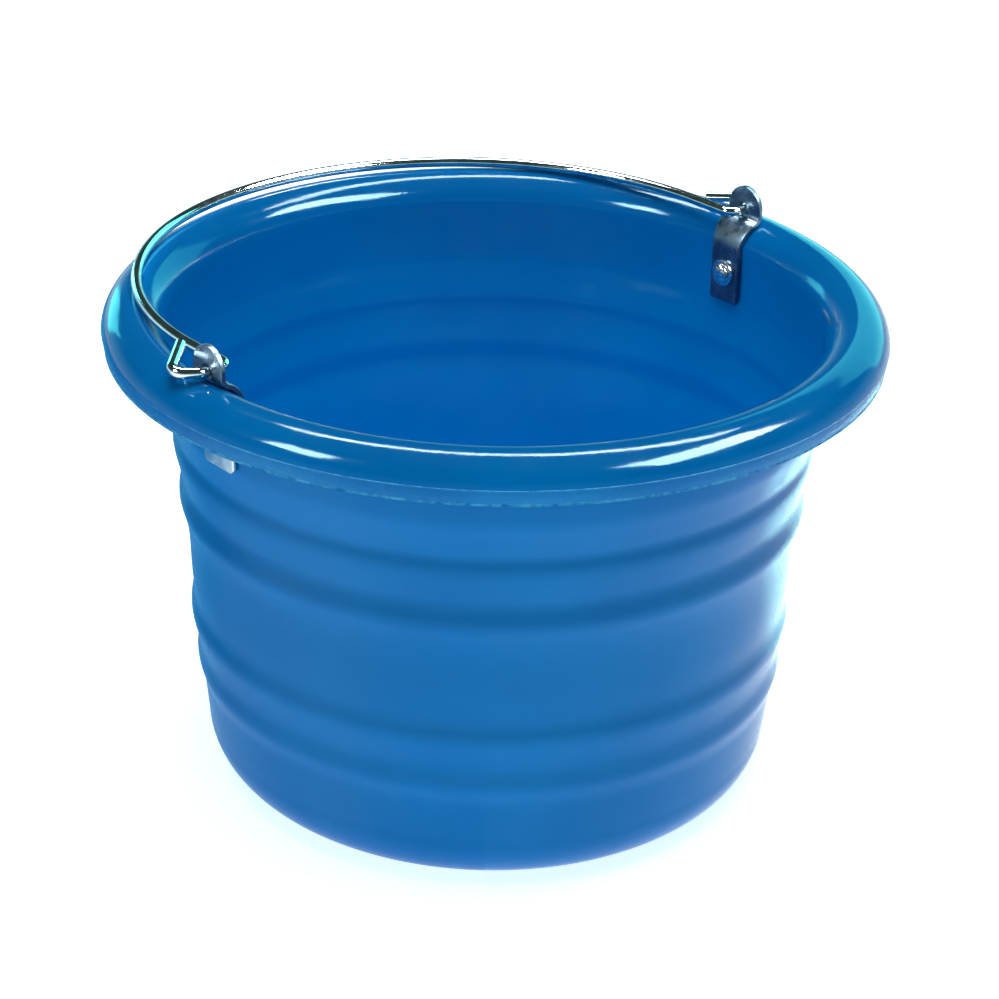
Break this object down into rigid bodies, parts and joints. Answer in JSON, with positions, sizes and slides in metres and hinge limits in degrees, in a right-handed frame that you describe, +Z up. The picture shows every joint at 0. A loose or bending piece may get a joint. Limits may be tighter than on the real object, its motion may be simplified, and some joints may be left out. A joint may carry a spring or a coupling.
{
  "type": "feed bucket",
  "caption": "Round moulded plastic stable feed bucket with a rolled rim, ringed wall and a swinging steel wire bail on bolted lug straps.",
  "frame": {"origin": "centre of the base on the surface the bucket stands on", "axes": "+Z up; X along the bail's pivot axis through both lug ears; +Y towards the side the bail is folded back to"},
  "size_m": [0.43, 0.43, 0.3025],
  "materials": {
    "tub_plastic": "glossy self-coloured blue moulded plastic",
    "bail_wire": "bright plated drawn wire",
    "strap_steel": "bright plated flat bar",
    "plate_steel": "zinc plated sheet",
    "fastener_zinc": "bright zinc plated"
  },
  "bodies": {
    "bucket": {"bucket_tub": "tub_plastic", "lug_strap_left": "strap_steel", "backing_plate_left": "plate_steel", "lug_bolt_left": "fastener_zinc", "flat_washer_left": "fastener_zinc", "spring_washer_left": "fastener_zinc", "lug_nut_left": "fastener_zinc", "lug_strap_right": "strap_steel", "backing_plate_right": "plate_steel", "lug_bolt_right": "fastener_zinc", "flat_washer_right": "fastener_zinc", "spring_washer_right": "fastener_zinc", "lug_nut_right": "fastener_zinc"},
    "bail": {"bail_handle": "bail_wire"}
  },
  "joints": [
    {"name": "bail_swing", "type": "hinge", "parent": "bucket", "child": "bail", "pos_m": [0, 0, 0.2885], "axis": [1, 0, 0], "range_deg": [0, 178]}
  ]
}
